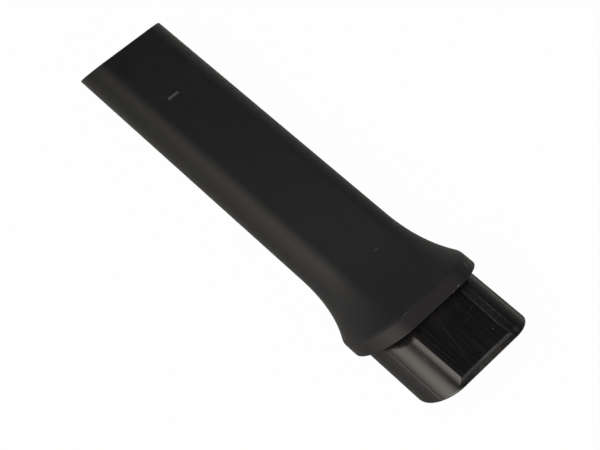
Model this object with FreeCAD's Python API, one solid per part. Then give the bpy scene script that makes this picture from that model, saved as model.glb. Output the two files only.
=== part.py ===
import FreeCAD, Part
import math
import os

# Vacuum crevice tool, one hollow moulding, millimetres
# Working axes: X runs from the suction tip to the spigot, Y across, Z up through the flat faces

# Ends: cuts across the tool lie on slanted planes, X = station + Z * lean
SLANT_DEG = 33.7
SPIGOT_SLANT_DEG = 41.0

# Tube: flat top and bottom with full round sides
TUBE_WIDTH = 44.0
TUBE_HEIGHT = 20.3
WALL = 2.0
TIP_BEVEL = 0.4

# Stations along the axis, read at mid height
FLARE_START = 140.5
BAND_START = 172.7
COLLAR_END = 179.8
SPIGOT_END = 210.0

# Flare and collar: the tube's section swells to the collar's, slowly at first
COLLAR_WIDTH = 58.7
COLLAR_HEIGHT = 33.7
FLARE_EASE = 0.22
CREASE_ROUND = 1.2
LIP_BEVEL = 0.5
POCKET_DEPTH = 8.0

# Spigot: smooth push-fit plug with a raised pad on top, which sweeps down on three sides
SPIGOT_WIDTH = 52.1
SPIGOT_HEIGHT = 20.0
SPIGOT_FLAT = 29.0
SPIGOT_SIDE_R = 9.0
SPIGOT_END_ROUND = 1.2
PAD_WIDTH_ROOT = 26.8
PAD_WIDTH_FRONT = 25.8
PAD_RISE = 0.9
PAD_HOLLOW = 0.175
PAD_SIDE_RUN = 2.8
PAD_FRONT = 215.0
PAD_FRONT_RUN = 1.95

# Duct: widens inside the flare so that the wall stays thin
DUCT_WIDEN_START = 143.0
DUCT_WIDEN_END = 173.0

# Gate mark: a small raised bar on the top near the tip
MARK_X = 41.7
MARK_Y = -3.0
MARK_LENGTH = 5.8
MARK_WIDTH = 1.5
MARK_RISE = 0.35

# Construction: how far cutting shapes run past what they cut, and joined shapes into each other
OVERRUN = 60.0
SINK = 1.0

V = FreeCAD.Vector
LEAN = math.tan(math.radians(SLANT_DEG))
END_LEAN = math.tan(math.radians(SPIGOT_SLANT_DEG))
TUBE_R = TUBE_HEIGHT / 2
TUBE_CORE = TUBE_WIDTH / 2 - TUBE_R
COLLAR_R = COLLAR_HEIGHT / 2
COLLAR_CORE = COLLAR_WIDTH / 2 - COLLAR_R
SPIGOT_R = SPIGOT_HEIGHT / 2
SPIGOT_CORE = SPIGOT_FLAT / 2

# Shoulder of a section: how far its side round is moved out, and how much smaller it is
PLAIN = (0.0, 0.0)
SPIGOT_SHOULDER = (SPIGOT_WIDTH / 2 - SPIGOT_SIDE_R - SPIGOT_CORE, SPIGOT_R - SPIGOT_SIDE_R)


def polygon_face(points):
    """Flat face with straight edges."""
    return Part.Face(Part.makePolygon(points + [points[0]]))


def sewn_solid(faces):
    """Closed solid from faces that share their edges."""
    shell = Part.makeShell(faces)
    shell.sewShape()
    solid = Part.Solid(Part.Shell(shell.Faces))
    if solid.Volume < 0:
        solid.reverse()
    return solid


def shoulder_radius(radius, shoulder):
    """Radius that leads from the flat into a side round, touching both."""
    gap, drop = shoulder
    return (gap**2 + radius**2 - (radius - drop) ** 2) / (2 * drop)


def section_rows(core, radius, shoulder):
    """Control points of a section: flats of two points, and rounds of three with the middle one outside."""
    gap, drop = shoulder
    side = radius - drop
    far = core + gap + side
    quarter = [[(core, radius), (far, radius), (far, 0)]]
    if drop:
        wide = shoulder_radius(radius, shoulder)
        turn = math.atan2(gap, wide - radius)
        joint = (core + wide * math.sin(turn), side * math.cos(turn))
        upper = [(core, radius), (core + wide * math.tan(turn / 2), radius), joint]
        quarter = [upper, [joint, (far, side * math.tan((math.pi / 2 - turn) / 2)), (far, 0)]]
    lower = [[(y, -z) for y, z in reversed(row)] for row in reversed(quarter)]
    right = quarter + lower
    left = [[(-y, -z) for y, z in row] for row in right]
    return [[(-core, radius), (core, radius)]] + right + [[(core, -radius), (-core, -radius)]] + left


def row_weights(row):
    """Weights that make a row of three control points a true arc."""
    if len(row) == 2:
        return [1.0, 1.0]
    (y0, z0), (y1, z1), (y2, z2) = row
    turn = math.atan2(z1 - z0, y1 - y0) - math.atan2(z2 - z1, y2 - y1)
    return [1.0, abs(math.cos(turn / 2)), 1.0]


def bar(core, radius, s0, s1, lean0=LEAN, lean1=LEAN, shoulder=PLAIN):
    """Flat bar along X with round sides, cut off by slanted planes at two stations."""
    x0 = s0 - OVERRUN
    edges = []
    for row in section_rows(core, radius, shoulder):
        points = [V(x0, y, z) for y, z in row]
        if len(row) == 2:
            edges.append(Part.makeLine(*points))
        else:
            weight = row_weights(row)[1]
            crown = (points[0] + points[1] * 2 * weight + points[2]) / (2 + 2 * weight)
            edges.append(Part.Arc(points[0], crown, points[2]).toShape())
    prism = Part.Face(Part.Wire(edges)).extrude(V(s1 - s0 + 2 * OVERRUN, 0, 0)).removeSplitter()
    side = [
        V(s0 - OVERRUN * lean0, -OVERRUN, -OVERRUN),
        V(s1 - OVERRUN * lean1, -OVERRUN, -OVERRUN),
        V(s1 + OVERRUN * lean1, -OVERRUN, OVERRUN),
        V(s0 + OVERRUN * lean0, -OVERRUN, OVERRUN),
    ]
    return prism.common(polygon_face(side).extrude(V(0, 2 * OVERRUN, 0)))


def blend_solid(sections, lean=LEAN, shoulder=PLAIN):
    """Solid whose sections (core, radius, station) follow a Bezier law, first to last."""
    steps = len(sections)
    rings = [section_rows(core, radius, shoulder) for core, radius, station in sections]
    faces = []
    caps = [[], []]
    for rows in zip(*rings):
        n = len(rows[0])
        weights = row_weights(rows[0])
        grid = [[V(s[2] + z * lean, y, z) for y, z in row] for s, row in zip(sections, rows)]
        poles = [[row[j] for row in grid] for j in range(n)]
        pole_weights = [[weight] * steps for weight in weights]
        surf = Part.BSplineSurface()
        ends = [0.0, 1.0]
        knots = ([n, n], [steps, steps], ends, ends)
        surf.buildFromPolesMultsKnots(poles, *knots, False, False, n - 1, steps - 1, pole_weights)
        faces.append(surf.toShape())
        for cap, row in ((caps[0], grid[0]), (caps[1], grid[-1])):
            curve = Part.BSplineCurve()
            curve.buildFromPolesMultsKnots(row, [n, n], ends, False, n - 1, weights)
            cap.append(curve.toShape())
    for edges in caps:
        faces.append(Part.Face(Part.Wire(edges)))
    return sewn_solid(faces)


def between(a, b, share):
    """Section part of the way from one section to another."""
    return tuple(p + (q - p) * share for p, q in zip(a, b))


def hollow_curve(start, end):
    """Curve between a foot and an edge of the pad, shallow at the foot and steeper at the edge."""
    low = min(start.z, end.z)
    middle = (start + end) / 2
    middle.z = low + abs(end.z - start.z) * PAD_HOLLOW
    curve = Part.BezierCurve()
    curve.setPoles([start, middle, end])
    return curve.toShape()


# Tube with a broken edge round the tip
tip_edge = blend_solid([(TUBE_CORE, TUBE_R - TIP_BEVEL, 0.0), (TUBE_CORE, TUBE_R, TIP_BEVEL)])
tube = bar(TUBE_CORE, TUBE_R, TIP_BEVEL, FLARE_START)

# Flare: leaves the tube smoothly and meets the collar band in a soft crease
third = (BAND_START - FLARE_START) / 3
ease_end = BAND_START - third
tube_end = (TUBE_CORE, TUBE_R, FLARE_START)
collar = (COLLAR_CORE, COLLAR_R, BAND_START)
eased = between((TUBE_CORE, TUBE_R, ease_end), (COLLAR_CORE, COLLAR_R, ease_end), FLARE_EASE)
crease_start = between(collar, eased, CREASE_ROUND / third)
flare = blend_solid([tube_end, (TUBE_CORE, TUBE_R, FLARE_START + third), eased, crease_start])
crease = blend_solid([crease_start, collar, (COLLAR_CORE, COLLAR_R, BAND_START + CREASE_ROUND)])

# Collar band with a broken edge round the lip
band = bar(COLLAR_CORE, COLLAR_R, BAND_START + CREASE_ROUND, COLLAR_END - LIP_BEVEL)
lip_start = (COLLAR_CORE, COLLAR_R, COLLAR_END - LIP_BEVEL)
lip = blend_solid([lip_start, (COLLAR_CORE, COLLAR_R - LIP_BEVEL, COLLAR_END)])
outer = tip_edge.fuse([tube, flare, crease, band, lip]).removeSplitter()

# Pocket between the collar's skirt and the spigot root
pocket_floor = COLLAR_END - POCKET_DEPTH
skirted = outer.cut(bar(COLLAR_CORE, COLLAR_R - WALL, pocket_floor, COLLAR_END + OVERRUN))

# Spigot with a rounded end
root = pocket_floor - SINK
end_start = SPIGOT_END - SPIGOT_END_ROUND
spigot = bar(SPIGOT_CORE, SPIGOT_R, root, end_start, LEAN, END_LEAN, SPIGOT_SHOULDER)
spigot_end = blend_solid(
    [
        (SPIGOT_CORE, SPIGOT_R, end_start),
        (SPIGOT_CORE, SPIGOT_R, SPIGOT_END),
        (SPIGOT_CORE, SPIGOT_R - SPIGOT_END_ROUND, SPIGOT_END),
    ],
    END_LEAN,
    SPIGOT_SHOULDER,
)

# Raised pad on the spigot: its sides and front sweep up in a hollow curve from the shoulders and the flat
pad_top = SPIGOT_R + PAD_RISE
pad_low = SPIGOT_R - PAD_RISE / 2
pad_rear = root + pad_low * LEAN
pad_end = PAD_FRONT + PAD_FRONT_RUN
draft = (PAD_WIDTH_ROOT - PAD_WIDTH_FRONT) / 2 / (PAD_FRONT - COLLAR_END)
wide = shoulder_radius(SPIGOT_R, SPIGOT_SHOULDER)
sections = []
for x in (pad_rear, pad_end):
    half = PAD_WIDTH_FRONT / 2 + (PAD_FRONT - x) * draft
    foot = half + PAD_SIDE_RUN
    foot_z = SPIGOT_R - wide + math.sqrt(wide**2 - (foot - SPIGOT_CORE) ** 2)
    right = hollow_curve(V(x, foot, foot_z), V(x, half, pad_top))
    left = hollow_curve(V(x, -half, pad_top), V(x, -foot, foot_z))
    top = Part.makeLine(V(x, half, pad_top), V(x, -half, pad_top))
    base = [V(x, -foot, foot_z), V(x, -foot, pad_low), V(x, foot, pad_low), V(x, foot, foot_z)]
    sections.append(Part.Wire([right, top, left] + Part.makePolygon(base).Edges))
pad_bar = Part.makeLoft(sections, True, True)
y = -OVERRUN
front = hollow_curve(V(pad_end, y, SPIGOT_R), V(PAD_FRONT, y, pad_top))
rest_of_side = [
    V(PAD_FRONT, y, pad_top),
    V(pad_rear, y, pad_top),
    V(pad_rear, y, pad_low),
    V(pad_end, y, pad_low),
    V(pad_end, y, SPIGOT_R),
]
side = Part.Wire([front] + Part.makePolygon(rest_of_side).Edges)
pad = pad_bar.common(Part.Face(side).extrude(V(0, 2 * OVERRUN, 0)))
body = skirted.fuse([spigot, spigot_end, pad]).removeSplitter()

# Duct right through, widening inside the flare
duct_r = TUBE_R - WALL
duct_r_end = SPIGOT_R - WALL
duct_core_end = SPIGOT_WIDTH / 2 - SPIGOT_R
duct_third = (DUCT_WIDEN_END - DUCT_WIDEN_START) / 3
duct_tip = bar(TUBE_CORE, duct_r, -OVERRUN, DUCT_WIDEN_START)
duct_mid = blend_solid(
    [
        (TUBE_CORE, duct_r, DUCT_WIDEN_START),
        (TUBE_CORE, duct_r, DUCT_WIDEN_START + duct_third),
        (duct_core_end, duct_r_end, DUCT_WIDEN_END - duct_third),
        (duct_core_end, duct_r_end, DUCT_WIDEN_END),
    ]
)
duct_end = bar(duct_core_end, duct_r_end, DUCT_WIDEN_END, SPIGOT_END + OVERRUN)
body = body.cut(duct_tip.fuse([duct_mid, duct_end]).removeSplitter())

# Gate mark
mark_low = V(MARK_X - MARK_WIDTH / 2, MARK_Y - MARK_LENGTH / 2, TUBE_R - SINK)
mark = Part.makeBox(MARK_WIDTH, MARK_LENGTH, MARK_RISE + SINK, mark_low)
body = body.fuse(mark).removeSplitter()

# Rest pose: tip edge and collar crease both touch the floor
rest_run = BAND_START - (COLLAR_R - TUBE_R) * LEAN
rest_deg = math.degrees(math.atan2(COLLAR_R - TUBE_R, rest_run))
body.rotate(V(0, 0, 0), V(0, 1, 0), -rest_deg)
box = body.optimalBoundingBox(False, False)
shift = V(-(box.XMin + box.XMax) / 2, -(box.YMin + box.YMax) / 2, -box.ZMin)
body.translate(shift)

os.makedirs("parts", exist_ok=True)
body.Solids[0].exportStep("parts/crevice_tool.step")
print("solids", len(body.Solids), "valid", body.isValid(), "volume", round(body.Volume, 1))
print("size", [round(v, 3) for v in (box.XLength, box.YLength, box.ZLength)])
print("rest", round(rest_deg, 4), "shift", [round(v, 4) for v in shift])
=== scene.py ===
import math

import bpy
import numpy as np
from mathutils import Matrix, Vector


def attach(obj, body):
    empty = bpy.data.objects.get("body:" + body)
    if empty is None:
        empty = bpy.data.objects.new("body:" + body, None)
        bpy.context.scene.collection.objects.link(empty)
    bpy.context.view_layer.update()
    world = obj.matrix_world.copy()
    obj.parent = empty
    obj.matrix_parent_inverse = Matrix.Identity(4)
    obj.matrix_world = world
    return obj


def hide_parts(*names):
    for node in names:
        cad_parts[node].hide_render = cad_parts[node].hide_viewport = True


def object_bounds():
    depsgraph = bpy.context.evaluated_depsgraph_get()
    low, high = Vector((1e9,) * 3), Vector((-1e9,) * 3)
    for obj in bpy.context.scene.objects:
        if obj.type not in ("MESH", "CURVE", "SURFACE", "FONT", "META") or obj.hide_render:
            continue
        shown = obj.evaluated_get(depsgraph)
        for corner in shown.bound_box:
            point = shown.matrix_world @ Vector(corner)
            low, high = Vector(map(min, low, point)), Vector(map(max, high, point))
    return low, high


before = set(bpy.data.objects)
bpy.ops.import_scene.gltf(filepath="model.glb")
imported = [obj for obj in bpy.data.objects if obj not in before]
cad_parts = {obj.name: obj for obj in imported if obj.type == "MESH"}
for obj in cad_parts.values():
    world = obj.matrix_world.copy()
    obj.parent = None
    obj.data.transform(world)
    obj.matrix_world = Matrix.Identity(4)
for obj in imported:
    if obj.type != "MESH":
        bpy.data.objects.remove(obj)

cad_low, cad_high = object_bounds()

# The moulding: one hollow piece of injection-moulded black plastic. A flat tube with round sides
# flares into a collar, whose skirt hangs over the root of a push-fit spigot. Its skin is one closed
# surface: out over tube, flare and collar, into the skirt's pocket, along the spigot, back through the duct.
MM = 0.001
LEAN = math.tan(math.radians(33.7))
END_LEAN = math.tan(math.radians(41.0))
WALL = 2.0
TUBE_R = 20.3 / 2
TUBE_CORE = 44.0 / 2 - TUBE_R
TIP_EDGE = 0.65
FLARE_START = 140.5
BAND_START = 172.7
FLARE_EASE = 0.22
CREASE_ROUND = 1.2
COLLAR_R = 33.7 / 2
COLLAR_CORE = 58.7 / 2 - COLLAR_R
COLLAR_END = 179.8
LIP_EDGE = 0.5
POCKET_FLOOR = COLLAR_END - 8.0
SPIGOT_HALF = 52.1 / 2
SPIGOT_R = 20.0 / 2
SPIGOT_SIDE_R = 9.0
SPIGOT_CORE = 29.0 / 2
SPIGOT_END = 210.0
END_ROUND = 1.2
DUCT_R = SPIGOT_R - WALL
DUCT_CORE = SPIGOT_HALF - SPIGOT_R
DUCT_WIDEN_START = 143.0
DUCT_WIDEN_END = 173.0
PAD_HALF_ROOT = 26.8 / 2
PAD_HALF_FRONT = 25.8 / 2
PAD_RISE = 0.9
PAD_HOLLOW = 0.175
PAD_SIDE_RUN = 2.8
PAD_FRONT = 215.0
PAD_FRONT_RUN = 1.95
PAD_FRONT_SOFT = 0.25
PAD_SIDE_SOFT = 0.06
PAD_FOOT_SOFT = 0.02
PAD_OUTSIDE_FALL = 1.5
PAD_TURN = math.radians(15.0)
PAD_EDGE_REACH = 0.8
PAD_FOOT_REACH = 0.4
MARK_X = 41.7
MARK_Y = -3.0
MARK_LENGTH = 5.8
MARK_WIDTH = 1.5
MARK_RISE = 0.35
MARK_SLOPE = 0.3
MARK_SOFT = 0.06
MARK_OUTER_REACH = 0.3
MARK_INNER_REACH = 0.5
WITNESS_TURN = math.radians(44.5)
WITNESS_RISE = 0.06
WITNESS_WIDTH = 0.12
SHARP_ANGLE = math.radians(40)


def stretch(sections, rows):
    """Rows of (core, radius, shoulder, station, lean) on a Bezier curve with the sections as its control
    points, closer together towards both ends. The last section is left to the next stretch."""
    t = 0.5 - 0.5 * np.cos(np.linspace(0.0, math.pi, rows + 1)[:-1])
    k = len(sections) - 1
    basis = [math.comb(k, i) * t**i * (1 - t) ** (k - i) for i in range(k + 1)]
    return np.transpose(basis) @ np.array(sections)


def soft_min(a, b, k):
    """The lesser of a and b, with the ridge where they meet rounded over about k."""
    return 0.5 * (a + b - np.sqrt((a - b) ** 2 + k * k))


def soft_max(a, b, k):
    """The greater of a and b, with the valley where they meet rounded over about k."""
    return 0.5 * (a + b + np.sqrt((a - b) ** 2 + k * k))


# Shoulder: the arc that touches the spigot's flat and its side arc, with the angle where they meet
side_gap = SPIGOT_HALF - SPIGOT_SIDE_R - SPIGOT_CORE
side_drop = SPIGOT_R - SPIGOT_SIDE_R
shoulder_r = (side_gap**2 + SPIGOT_R**2 - SPIGOT_SIDE_R**2) / (2 * side_drop)
shoulder_turn = math.atan2(side_gap, shoulder_r - SPIGOT_R)
shoulder = shoulder_r - SPIGOT_SIDE_R


def tube(station, radius=TUBE_R):
    """Section of the tube, or of the duct inside it, with its middle at a station."""
    return (TUBE_CORE, radius, 0.0, station, LEAN)


def band(station, radius=COLLAR_R):
    """Section of the collar's band, or of the skirt's inside, with its middle at a station."""
    return (COLLAR_CORE, radius, 0.0, station, LEAN)


def plug(station, radius=SPIGOT_SIDE_R):
    """Section of the spigot on the slant of its end, with its middle at a station."""
    return (SPIGOT_CORE, radius, shoulder, station, END_LEAN)


plug_root = (SPIGOT_CORE, SPIGOT_SIDE_R, shoulder, POCKET_FLOOR, LEAN)
plug_front = plug(SPIGOT_END - END_ROUND)


def plug_at(x):
    """Section of the spigot whose flat top is at x, where station and lean both run straight from
    root to front."""
    a, b = np.array(plug_root), np.array(plug_front)
    top_a = a[3] + SPIGOT_R * a[4]
    top_b = b[3] + SPIGOT_R * b[4]
    return tuple(a + (b - a) * (x - top_a) / (top_b - top_a))


# Rows along the skin, closer together where the gate mark and the pad's front rise
flare_third = (BAND_START - FLARE_START) / 3
eased_core = TUBE_CORE + FLARE_EASE * (COLLAR_CORE - TUBE_CORE)
eased_r = TUBE_R + FLARE_EASE * (COLLAR_R - TUBE_R)
eased = np.array((eased_core, eased_r, 0.0, BAND_START - flare_third, LEAN))
collar = np.array(band(BAND_START))
crease = collar + (eased - collar) * CREASE_ROUND / flare_third
mark_station = MARK_X - TUBE_R * LEAN
mark_outside = MARK_WIDTH / 2 + MARK_OUTER_REACH
mark_inside = MARK_WIDTH / 2 - MARK_INNER_REACH
skirt_r = COLLAR_R - WALL
body_rows = [
    stretch([tube(0.0, TUBE_R - WALL), tube(0.0, TUBE_R - TIP_EDGE)], 6),
    stretch([tube(0.0, TUBE_R - TIP_EDGE), tube(0.0), tube(TIP_EDGE)], 8),
    stretch([tube(TIP_EDGE), tube(mark_station - mark_outside)], 14),
    stretch([tube(mark_station - mark_outside), tube(mark_station - mark_inside)], 10),
    stretch([tube(mark_station - mark_inside), tube(mark_station + mark_inside)], 3),
    stretch([tube(mark_station + mark_inside), tube(mark_station + mark_outside)], 10),
    stretch([tube(mark_station + mark_outside), tube(FLARE_START)], 24),
    stretch([tube(FLARE_START), tube(FLARE_START + flare_third), eased, crease], 48),
    stretch([crease, collar, band(BAND_START + CREASE_ROUND)], 10),
    stretch([band(BAND_START + CREASE_ROUND), band(COLLAR_END - LIP_EDGE)], 10),
    stretch([band(COLLAR_END - LIP_EDGE), band(COLLAR_END), band(COLLAR_END, COLLAR_R - LIP_EDGE)], 8),
    stretch([band(COLLAR_END, COLLAR_R - LIP_EDGE), band(COLLAR_END, skirt_r)], 6),
    stretch([band(COLLAR_END, skirt_r), band(POCKET_FLOOR, skirt_r)], 8),
    stretch([band(POCKET_FLOOR, skirt_r), plug_root], 6),
]
pad_before = plug_at(PAD_FRONT - PAD_EDGE_REACH)
pad_after = plug_at(PAD_FRONT + PAD_EDGE_REACH)
pad_foot = plug_at(PAD_FRONT + PAD_FRONT_RUN - PAD_FOOT_REACH)
plug_rim = plug(SPIGOT_END, SPIGOT_SIDE_R - END_ROUND)
duct_mouth = (DUCT_CORE, DUCT_R, 0.0, SPIGOT_END, END_LEAN)
spigot_rows = [
    stretch([plug_root, pad_before], 24),
    stretch([pad_before, pad_after], 14),
    stretch([pad_after, pad_foot], 4),
    stretch([pad_foot, plug_front], 12),
    stretch([plug_front, plug(SPIGOT_END), plug_rim], 14),
    stretch([plug_rim, duct_mouth], 6),
]
duct_third = (DUCT_WIDEN_END - DUCT_WIDEN_START) / 3
duct_wide = (DUCT_CORE, DUCT_R, 0.0, DUCT_WIDEN_END, LEAN)
duct_eased = (DUCT_CORE, DUCT_R, 0.0, DUCT_WIDEN_END - duct_third, LEAN)
duct_narrow = tube(DUCT_WIDEN_START, TUBE_R - WALL)
duct_rows = [
    stretch([duct_mouth, duct_wide], 14),
    stretch([duct_wide, duct_eased, tube(DUCT_WIDEN_START + duct_third, TUBE_R - WALL), duct_narrow], 32),
    stretch([duct_narrow, tube(0.0, TUBE_R - WALL)], 16),
]
core, radius, shoulders, station, lean = (np.vstack(body_rows + spigot_rows + duct_rows).T)[:, :, None]
body_count = sum(len(rows) for rows in body_rows)
spigot_count = sum(len(rows) for rows in spigot_rows)
row_number = np.arange(len(core))
on_spigot = (row_number >= body_count) & (row_number < body_count + spigot_count)

# Columns round the section: flat top, one round side, flat bottom, other round side, closer together
# at the pad's edges, the ends of the gate mark, the witness line and the feet of the pad's sides
near_edge = np.array((-0.6, -0.36, -0.2, -0.1, 0.0, 0.1, 0.2, 0.36, 0.6))
pad_half = np.concatenate((PAD_HALF_ROOT + near_edge, np.linspace(PAD_HALF_ROOT, SPIGOT_CORE, 5)))
mark_ends = MARK_Y + MARK_LENGTH / 2 * np.array((-1.0, 1.0))
mark_columns = (mark_ends[:, None] + 0.5 * near_edge).ravel() * SPIGOT_CORE / TUBE_CORE
top = np.concatenate((np.linspace(-SPIGOT_CORE, SPIGOT_CORE, 25), pad_half, -pad_half, mark_columns))
top = np.unique(np.round(top, 4))
near_line = np.radians((-1.5, -1.0, -0.6, -0.3, 0.3, 0.6, 1.0, 1.5))
line_columns = np.concatenate((WITNESS_TURN + near_line, math.pi - WITNESS_TURN + near_line))
foot_columns = np.radians((1.0, 2.0, 4.0, 5.0, 7.0, 8.0, 10.0, 11.0))
turn = np.concatenate((np.linspace(0.0, math.pi, 61)[1:-1], line_columns, foot_columns))
turn = np.sort(turn)
low = np.cos(np.linspace(0.0, math.pi, 15))
across = np.concatenate((top / SPIGOT_CORE, np.ones_like(turn), low, -np.ones_like(turn)))
out = np.concatenate((np.zeros_like(top), np.sin(turn), np.zeros_like(low), -np.sin(turn)))
up = np.concatenate((np.ones_like(top), np.cos(turn), -np.ones_like(low), -np.cos(turn)))

# Witness line: a hair of flash along the spigot where the mould's polished insert ends,
# radius += rise * exp(-(distance round the side / width) ** 2)
from_flat = np.arctan2(np.abs(out), np.abs(up))
witness = WITNESS_RISE * np.exp(-((((from_flat - WITNESS_TURN) * SPIGOT_SIDE_R) / WITNESS_WIDTH) ** 2))
on_plug = on_spigot & np.isclose(radius[:, 0], SPIGOT_SIDE_R)
bead = on_plug[:, None] * witness

# Skin: y = across * core + out * radius, z = up * radius, x = station + z * lean, and the spigot's
# flat runs into its sides over a shoulder of larger radius, which adds shoulder * (sin, cos - cos of its end)
over = np.minimum(from_flat, shoulder_turn)
y = across * core + out * (radius + bead) + np.sign(out) * np.sin(over) * shoulders
z = up * (radius + bead) + np.sign(up) * (np.cos(over) - math.cos(shoulder_turn)) * shoulders
x = station + z * lean


def hollow_rise(t, foot_z):
    """Height of the pad's sweep from a foot, t = 0, to its edge, t = 1: foot + rise * (2 * hollow * t *
    (1 - t) + t * t), and steeply down outside the foot."""
    inside = 2 * PAD_HOLLOW * t * (1 - t) + t * t
    return foot_z + (SPIGOT_R + PAD_RISE - foot_z) * np.where(t > 0, inside, PAD_OUTSIDE_FALL * t)


# Raised pad: its sides sweep up from the shoulders and its front from the flat to crisp edges
pad_rows = np.ix_(on_plug, np.flatnonzero(up > math.cos(PAD_TURN)))
pad_x = x[pad_rows]
pad_y = np.abs(y[pad_rows])
half = PAD_HALF_FRONT + (PAD_FRONT - pad_x) * (PAD_HALF_ROOT - PAD_HALF_FRONT) / (PAD_FRONT - COLLAR_END)
narrowed = half + (pad_y - PAD_HALF_ROOT) * (SPIGOT_CORE - half) / (SPIGOT_CORE - PAD_HALF_ROOT)
moved = np.where(pad_y < PAD_HALF_ROOT, pad_y * half / PAD_HALF_ROOT, narrowed)
moved = np.where(pad_y < SPIGOT_CORE, moved, pad_y)
foot = half + PAD_SIDE_RUN
foot_z = SPIGOT_R - shoulder_r + np.sqrt(shoulder_r**2 - (foot - SPIGOT_CORE) ** 2)
side_z = hollow_rise((foot - moved) / PAD_SIDE_RUN, foot_z)
front_z = hollow_rise((PAD_FRONT + PAD_FRONT_RUN - pad_x) / PAD_FRONT_RUN, SPIGOT_R)
pad_z = soft_min(soft_min(front_z, SPIGOT_R + PAD_RISE, PAD_FRONT_SOFT), side_z, PAD_SIDE_SOFT)
y[pad_rows] = np.sign(y[pad_rows]) * moved
z[pad_rows] = soft_max(z[pad_rows], pad_z, PAD_FOOT_SOFT)

# Gate mark: a small raised bar across the top near the tip
on_tube = (row_number < body_count) & (station[:, 0] < FLARE_START) & np.isclose(radius[:, 0], TUBE_R)
mark_rows = np.ix_(on_tube, np.arange(len(top)))
along = (MARK_WIDTH / 2 - np.abs(x[mark_rows] - MARK_X)) / MARK_SLOPE
crosswise = (MARK_LENGTH / 2 - np.abs(y[mark_rows] - MARK_Y)) / MARK_SLOPE
slope = soft_min(soft_min(along, crosswise, MARK_SOFT), 1.0, MARK_SOFT)
gate_mark = np.zeros_like(z)
gate_mark[mark_rows] = soft_max(slope, 0.0, MARK_SOFT)
z += MARK_RISE * gate_mark

# Rest: the tool lies on the tip's lower edge and the collar's crease, where the solid lies
rest = math.atan2(COLLAR_R - TUBE_R, BAND_START - (COLLAR_R - TUBE_R) * LEAN)
turned_x = x * math.cos(rest) - z * math.sin(rest)
turned_z = x * math.sin(rest) + z * math.cos(rest)
rest_shift = (cad_high.x / MM - turned_x.max(), cad_low.z / MM - turned_z.min())
points = np.stack((turned_x + rest_shift[0], y, turned_z + rest_shift[1]), axis=-1) * MM


def at_rest(own_x, own_y, own_z):
    """A point of the moulding's own axes, in mm, turned and moved into the rest pose, in metres."""
    rest_x = own_x * math.cos(rest) - own_z * math.sin(rest) + rest_shift[0]
    rest_z = own_x * math.sin(rest) + own_z * math.cos(rest) + rest_shift[1]
    return (rest_x * MM, own_y * MM, rest_z * MM)


def grid_mesh(name, grid, finish):
    """Mesh of quads over a grid that closes on itself both ways, with a finish number for each quad."""
    rows, columns = grid.shape[:2]
    index = np.arange(rows * columns).reshape(rows, columns)
    ahead = np.roll(index, -1, axis=0)
    quads = np.stack((index, ahead, np.roll(ahead, -1, axis=1), np.roll(index, -1, axis=1)), axis=-1)
    mesh = bpy.data.meshes.new(name)
    mesh.from_pydata(grid.reshape(-1, 3), [], quads.reshape(-1, 4))
    mesh.polygons.foreach_set("material_index", finish.ravel().astype(np.int32))
    mesh.polygons.foreach_set("use_smooth", np.ones(rows * columns, dtype=bool))
    mesh.set_sharp_from_angle(angle=SHARP_ANGLE)
    return mesh


# Finishes: matt outside, and polished on the spigot down to its witness lines and in the duct
side_columns = np.abs(up) < math.cos(WITNESS_TURN) + 1e-6
side_columns &= np.abs(np.roll(up, -1)) < math.cos(WITNESS_TURN) + 1e-6
polished = (row_number >= body_count)[:, None] & ~(on_spigot[:, None] & side_columns)
skin = grid_mesh("moulding", points, polished)
skin.attributes.new("gate_mark", "FLOAT", "POINT").data.foreach_set("value", gate_mark.ravel())
moulding = bpy.data.objects.new("moulding", skin)
bpy.context.collection.objects.link(moulding)
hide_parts("crevice_tool")
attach(moulding, "root")

# Matt finish: the spark-eroded texture of the tube, flare and collar, a fine even grain in black
# plastic, duller towards the collar where it is handled, with a few pale rubs and specks and a worn
# collar edge. Its colour also carries painted light: lighter towards the collar and on the collar's band, and
# a painted highlight along the crease.
DEEP_BLACK = (0.0003, 0.0005, 0.0010)
SOFT_BLACK = (0.0012, 0.0014, 0.0024)
PAINTED_LIGHT_BLACK = (0.0046, 0.0049, 0.0064)
BAND_PAINTED_LIGHT = (0.0050, 0.0045, 0.0060)
MATT_WORN_AND_GLINT = (0.20, 0.19, 0.18)
GATE_PALE_GREY = (0.036, 0.036, 0.036)
CLOUDS_PER_M = 38.0
PATCHES_PER_M = 210.0
WEAR_PER_M = 420.0
GRAINS_PER_M = 2600.0
GRAIN_STRENGTH = 0.35
GRAIN_DEPTH = 0.00004
LIT_AND_HANDLED_START = -0.15
LIT_AND_HANDLED_FULL = -0.01
HANDLED_DULLING = 0.07
BAND_LIGHT_EDGE = 0.0036
BAND_LIGHT_FULL = 0.0024
MATT_LEAST_ROUGH = 0.44
MATT_MOST_ROUGH = 0.52
MATT_SPECULAR = 0.33


def new_material(name):
    """Empty node material and its node tree."""
    material = bpy.data.materials.new(name)
    material.use_nodes = True
    material.node_tree.nodes.clear()
    return material, material.node_tree


def add(tree, kind, links=(), **settings):
    """Node with its settings, its sockets set by name, and links of (socket, output)."""
    node = tree.nodes.new("ShaderNode" + kind)
    for key, value in settings.items():
        if hasattr(node, key):
            setattr(node, key, value)
        else:
            node.inputs[key.replace("_", " ")].default_value = value
    for socket, output in links:
        tree.links.new(output, node.inputs[socket])
    return node


def noise(tree, place, scale, detail, roughness):
    """Cloudy value about 0.5 at a place, with so many lumps to the place's unit."""
    cloud = add(tree, "TexNoise", [("Vector", place)], Scale=scale, Detail=detail, Roughness=roughness)
    return cloud.outputs["Fac"]


def framed(tree, coords, place=(0.0, 0.0, 0.0), turned=(0.0, 0.0, 0.0), size=(1.0, 1.0, 1.0)):
    """Coordinates measured from a place, along turned axes, in units of a size."""
    node = add(tree, "Mapping", [("Vector", coords)], vector_type="TEXTURE")
    node.inputs["Location"].default_value = place
    node.inputs["Rotation"].default_value = turned
    node.inputs["Scale"].default_value = size
    return node.outputs[0]


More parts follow.
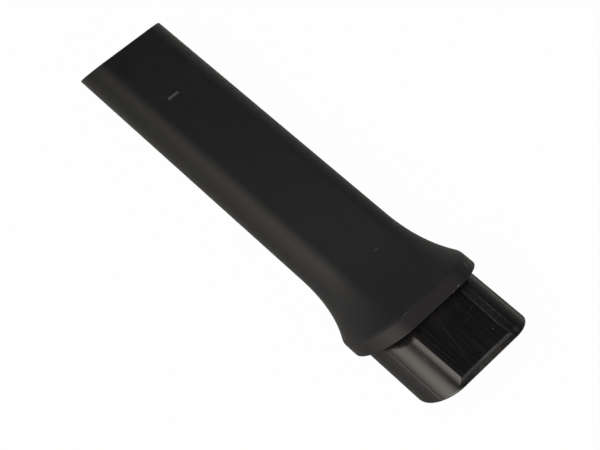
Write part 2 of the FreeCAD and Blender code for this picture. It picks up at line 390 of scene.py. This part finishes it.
def remap(tree, value, start, end, to_start=0.0, to_end=1.0):
    """A value moved in proportion from start .. end to to_start .. to_end, and held at both ends."""
    node = add(tree, "MapRange", [("Value", value)])
    node.inputs["From Min"].default_value = start
    node.inputs["From Max"].default_value = end
    node.inputs["To Min"].default_value = to_start
    node.inputs["To Max"].default_value = to_end
    return node.outputs[0]


def reckon(tree, operation, *terms):
    """Sum, product or other operation on terms that are outputs or plain numbers."""
    node = add(tree, "Math", operation=operation)
    for socket, term in zip(node.inputs, terms):
        if isinstance(term, float):
            socket.default_value = term
        else:
            tree.links.new(term, socket)
    return node.outputs[0]


def ramp(tree, value, start, start_colour, end, end_colour):
    """A value turned into a colour: one colour up to start, another from end on, and even between."""
    node = add(tree, "ValToRGB", [("Fac", value)])
    stops = node.color_ramp.elements
    stops[0].position = start
    stops[0].color = (*start_colour, 1)
    stops[1].position = end
    stops[1].color = (*end_colour, 1)
    return node.outputs["Color"]


def tint(tree, share, under, colour):
    """A colour laid over another by a share: under * (1 - share) + colour * share."""
    colour_a, colour_b, result = 6, 7, 2
    node = add(tree, "Mix", [("Factor", share), (colour_a, under)], data_type="RGBA")
    node.inputs[colour_b].default_value = (*colour, 1)
    return node.outputs[result]


def rub_and_light_mask(tree, coords, rubs):
    """Strength of the strongest rub, or patch of painted light, at a point: each is an ellipsoid, full
    inside and soft at its rim, and worn through unevenly."""
    total = None
    for place, size, angle, strength, full_share in rubs:
        turned = (0.0, -rest, math.radians(angle))
        local = framed(tree, coords, at_rest(*place), turned, [v * MM for v in size])
        far = add(tree, "VectorMath", [(0, local)], operation="LENGTH").outputs["Value"]
        soft = remap(tree, far, 1.0, full_share, 0.0, strength)
        total = soft if total is None else reckon(tree, "MAXIMUM", total, soft)
    uneven = remap(tree, noise(tree, coords, WEAR_PER_M, 3.0, 0.65), 0.35, 0.65, 0.5, 1.35)
    return reckon(tree, "MULTIPLY", total, uneven)


def plastic(tree, colour, roughness, height, strength, depth, specular):
    """Skin of plastic: its colour, its roughness, a fine relief from a height, and its gloss."""
    relief = add(tree, "Bump", [("Height", height)], Strength=strength, Distance=depth)
    links = [("Base Color", colour), ("Roughness", roughness), ("Normal", relief.outputs[0])]
    surface = add(tree, "BsdfPrincipled", links)
    surface.inputs["Specular IOR Level"].default_value = specular
    add(tree, "OutputMaterial", [("Surface", surface.outputs[0])])


# Rubs, with one painted highlight among them: centre, half sizes, turn in degrees, strength, share that is at
# full strength
BODY_RUBS_AND_GLINT = [
    ((154.7, 3.7, 10.6), (0.4, 1.4, 1.5), 0, 0.16, 0.3),
    ((157.7, -16.8, 9.0), (0.5, 0.4, 1.5), 0, 0.10, 0.3),
    ((184.4, -10.9, 16.8), (0.2, 2.8, 1.5), 0, 0.17, 0.2),
    # Painted highlight: a faint pale line along the crease, where the crease catches the light.
    ((184.3, -6.0, 16.8), (0.2, 5.0, 1.5), 0, 0.05, 0.3),
    ((190.4, 11.8, 16.5), (0.35, 0.9, 0.6), 0, 0.80, 0.4),
    ((190.8, 8.7, 16.6), (0.3, 0.8, 0.6), 0, 0.45, 0.4),
    ((185.6, 21.6, 14.1), (2.2, 0.25, 2.0), -8, 0.45, 0.3),
]
matt, tree = new_material("matt_black_plastic")
coords = add(tree, "TexCoord").outputs["Object"]
tone = ramp(tree, noise(tree, coords, CLOUDS_PER_M, 3.0, 0.55), 0.3, DEEP_BLACK, 0.72, SOFT_BLACK)
band_middle = at_rest((BAND_START + COLLAR_END) / 2, 0.0, 0.0)
to_band = framed(tree, coords, band_middle, (0.0, math.atan(LEAN) - rest, 0.0))
past_band = add(tree, "SeparateXYZ", [(0, to_band)]).outputs["X"]
# Painted light: the tone turns lighter towards the collar, standing in for light that falls off towards the
# tip; the same ramp makes the finish duller where it is handled.
lit_and_handled = remap(tree, past_band, LIT_AND_HANDLED_START, LIT_AND_HANDLED_FULL)
tone = tint(tree, lit_and_handled, tone, PAINTED_LIGHT_BLACK)
# Painted light: the collar's band is coloured lighter, standing in for the band catching more light than the
# flare beside it.
on_band = remap(tree, reckon(tree, "ABSOLUTE", past_band), BAND_LIGHT_EDGE, BAND_LIGHT_FULL)
tone = tint(tree, on_band, tone, BAND_PAINTED_LIGHT)
tone = tint(tree, rub_and_light_mask(tree, coords, BODY_RUBS_AND_GLINT), tone, MATT_WORN_AND_GLINT)
# The gate mark's bar is coloured a paler grey.
tone = tint(tree, add(tree, "Attribute", attribute_name="gate_mark").outputs["Fac"], tone, GATE_PALE_GREY)
patches = noise(tree, coords, PATCHES_PER_M, 4.0, 0.6)
patchy = remap(tree, patches, 0.25, 0.75, MATT_LEAST_ROUGH, MATT_MOST_ROUGH)
rough = reckon(tree, "MULTIPLY_ADD", lit_and_handled, HANDLED_DULLING, patchy)
grain = noise(tree, coords, GRAINS_PER_M, 2.0, 0.6)
plastic(tree, tone, rough, grain, GRAIN_STRENGTH, GRAIN_DEPTH, MATT_SPECULAR)
moulding.data.materials.append(matt)

# Polished finish: the spigot and the duct come off smooth steel, so they are glossy, with fine drag lines
# along the draw and hairline scratches where the spigot slides into its socket, and painted light that lifts
# the shade under the collar's lip.
POLISHED_BLACK = (0.0022, 0.0021, 0.0024)
STREAK_BLACK = (0.0054, 0.0050, 0.0055)
POLISH_WORN_AND_LIGHT = (0.18, 0.185, 0.19)
SMUDGES_PER_M = 90.0
DRAG_SIZE = (0.050, 0.0022, 0.025)
DRAG_STRENGTH = 0.10
DRAG_DEPTH = 0.00003
POLISH_LEAST_ROUGH = 0.20
POLISH_MOST_ROUGH = 0.26
POLISH_SPECULAR = 0.5
SPIGOT_RUBS_AND_LIGHT = [
    ((202.7, 13.1, 10.9), (12.6, 0.14, 0.6), -2.3, 0.22, 0.5),
    ((201.5, -10.2, 10.9), (11.0, 0.12, 0.6), 1.0, 0.08, 0.5),
    ((202.1, -3.7, 10.9), (10.4, 0.12, 0.6), -10.7, 0.07, 0.5),
    ((198.2, 11.1, 10.9), (0.14, 1.5, 0.6), 4.0, 0.11, 0.4),
    ((200.4, 5.8, 10.9), (0.14, 1.9, 0.6), 5.0, 0.11, 0.4),
    ((209.9, 10.1, 10.9), (0.25, 0.25, 0.6), 0.0, 0.25, 0.4),
    ((203.0, 16.7, 9.8), (18.0, 0.5, 0.8), -0.8, 0.095, 0.2),
    ((203.0, 15.7, 9.9), (18.0, 1.4, 0.8), 0.0, 0.030, 0.2),
    ((198.0, -16.4, 9.9), (16.0, 1.0, 0.8), 0.0, 0.085, 0.1),
    # Painted light: a faint lighter patch on the pad's root under the collar's lip, lifting the lip's shade
    # there.
    ((189.0, 0.0, 10.9), (8.0, 15.5, 1.5), 0.0, 0.022, 0.0),
    ((217.2, 0.0, 9.9), (1.2, 16.0, 0.8), 0.0, 0.11, 0.2),
    ((215.3, 1.5, 10.6), (0.6, 6.0, 0.7), 0.0, 0.12, 0.2),
    ((215.8, 16.6, 9.8), (1.8, 2.4, 1.0), 0.0, 0.09, 0.1),
    ((216.4, -13.2, 10.2), (1.0, 1.4, 1.0), 0.0, 0.06, 0.1),
]
polish, tree = new_material("polished_black_plastic")
coords = add(tree, "TexCoord").outputs["Object"]
drag = noise(tree, framed(tree, coords, turned=(0.0, -rest, 0.0), size=DRAG_SIZE), 1.0, 3.0, 0.65)
tone = ramp(tree, drag, 0.36, POLISHED_BLACK, 0.64, STREAK_BLACK)
tone = tint(tree, rub_and_light_mask(tree, coords, SPIGOT_RUBS_AND_LIGHT), tone, POLISH_WORN_AND_LIGHT)
smudge = reckon(tree, "ADD", noise(tree, coords, SMUDGES_PER_M, 3.0, 0.6), drag)
rough = remap(tree, smudge, 0.75, 1.25, POLISH_LEAST_ROUGH, POLISH_MOST_ROUGH)
plastic(tree, tone, rough, drag, DRAG_STRENGTH, DRAG_DEPTH, POLISH_SPECULAR)
moulding.data.materials.append(polish)

# Floor: a plain white table top, wide enough to fill the picture, that keeps a soft shadow. To the
# camera it is nearly plain white. Reflections see mostly the card as it is lit, with a little of that white.
FLOOR_REACH = 4.0
CARD_GREY = (0.42, 0.42, 0.42, 1)
CAMERA_SHARE = 0.98
MIRROR_SHARE = 0.08
reach = np.array((-FLOOR_REACH, FLOOR_REACH))
corners = np.stack((*np.meshgrid(reach, reach), np.zeros((2, 2))), axis=-1).reshape(-1, 3)
floor_mesh = bpy.data.meshes.new("floor")
floor_mesh.from_pydata(corners, [], [(0, 1, 3, 2)])
floor = bpy.data.objects.new("floor", floor_mesh)
bpy.context.collection.objects.link(floor)
card, tree = new_material("white_card")
ray = add(tree, "LightPath").outputs
mirrored = reckon(tree, "MAXIMUM", ray["Is Glossy Ray"], ray["Is Transmission Ray"])
mirrored = reckon(tree, "MULTIPLY", mirrored, MIRROR_SHARE)
direct = reckon(tree, "MULTIPLY", ray["Is Camera Ray"], CAMERA_SHARE)
share = reckon(tree, "MAXIMUM", direct, mirrored)
matte = add(tree, "BsdfDiffuse", Color=CARD_GREY)
plain = add(tree, "Emission", Color=(1, 1, 1, 1), Strength=1.0)
mixed = add(tree, "MixShader", [("Fac", share), (1, matte.outputs[0]), (2, plain.outputs[0])])
add(tree, "OutputMaterial", [("Surface", mixed.outputs[0])])
floor_mesh.materials.append(card)

# Light: one large soft box to the left of the camera, from low to nearly overhead, a small weak one
# to the right, two low strips along the tool's sides, and a dim room round them, darker overhead.
LOW_WALL = (0.32, 0.315, 0.31)
CEILING = (0.03, 0.035, 0.045)
CEILING_START = 0.76


def soft_box(name, toward, distance, width, height, radiance, spread, colour):
    """Rectangular lamp that faces the object from a direction. Its power, radiance * pi * width * height,
    gives its face that radiance when its spread is 180 degrees."""
    lamp = bpy.data.lights.new(name, "AREA")
    lamp.shape = "RECTANGLE"
    lamp.size = width
    lamp.size_y = height
    lamp.energy = radiance * math.pi * width * height
    lamp.spread = math.radians(spread)
    lamp.color = colour
    box = bpy.data.objects.new(name, lamp)
    bpy.context.collection.objects.link(box)
    back = Vector(toward).normalized()
    box.matrix_world = Matrix.Translation(back * distance) @ back.to_track_quat("Z", "Y").to_matrix().to_4x4()


# Lamps: direction, distance, width, height, radiance, spread in degrees, colour
soft_box("key_box", (0.17, -0.505, 0.845), 0.65, 1.40, 1.40, 1.42, 82.0, (1.0, 0.94, 0.83))
soft_box("fill_box", (0.70, 0.28, 0.58), 0.80, 0.70, 0.50, 0.9, 180.0, (1.0, 0.92, 0.84))
soft_box("low_strip", (-0.02, -0.95, 0.26), 0.42, 0.40, 0.13, 1.8, 180.0, (1.0, 0.95, 0.88))
soft_box("back_strip", (-0.54, 0.77, 0.35), 0.43, 0.26, 0.12, 0.65, 180.0, (1.0, 0.98, 0.96))
room = bpy.data.worlds.new("room")
room.use_nodes = True
tree = room.node_tree
skyward = add(tree, "SeparateXYZ", [(0, add(tree, "TexCoord").outputs["Generated"])]).outputs["Z"]
wall = ramp(tree, skyward, 0.0, LOW_WALL, CEILING_START, CEILING)
tree.links.new(wall, tree.nodes["Background"].inputs["Color"])
bpy.context.scene.world = room

# Camera: from the right of the tool's end and well above, as the photograph was taken, on a lens
# of about 78 mm and turned a little.
CAMERA_PLACE = Vector((0.20292, -0.17629, 0.47588))
CAMERA_AIM = Vector((0.01708, -0.00729, 0.02))
CAMERA_ROLL = math.radians(-1.87)
view = bpy.data.cameras.new("view")
view.sensor_width = 36.0
view.lens = 77.96
camera = bpy.data.objects.new("view", view)
bpy.context.collection.objects.link(camera)
level = (CAMERA_AIM - CAMERA_PLACE).to_track_quat("-Z", "Y").to_matrix().to_4x4()
camera.matrix_world = Matrix.Translation(CAMERA_PLACE) @ level @ Matrix.Rotation(CAMERA_ROLL, 4, "Z")
bpy.context.scene.camera = camera
bpy.context.scene.view_settings.view_transform = "Standard"
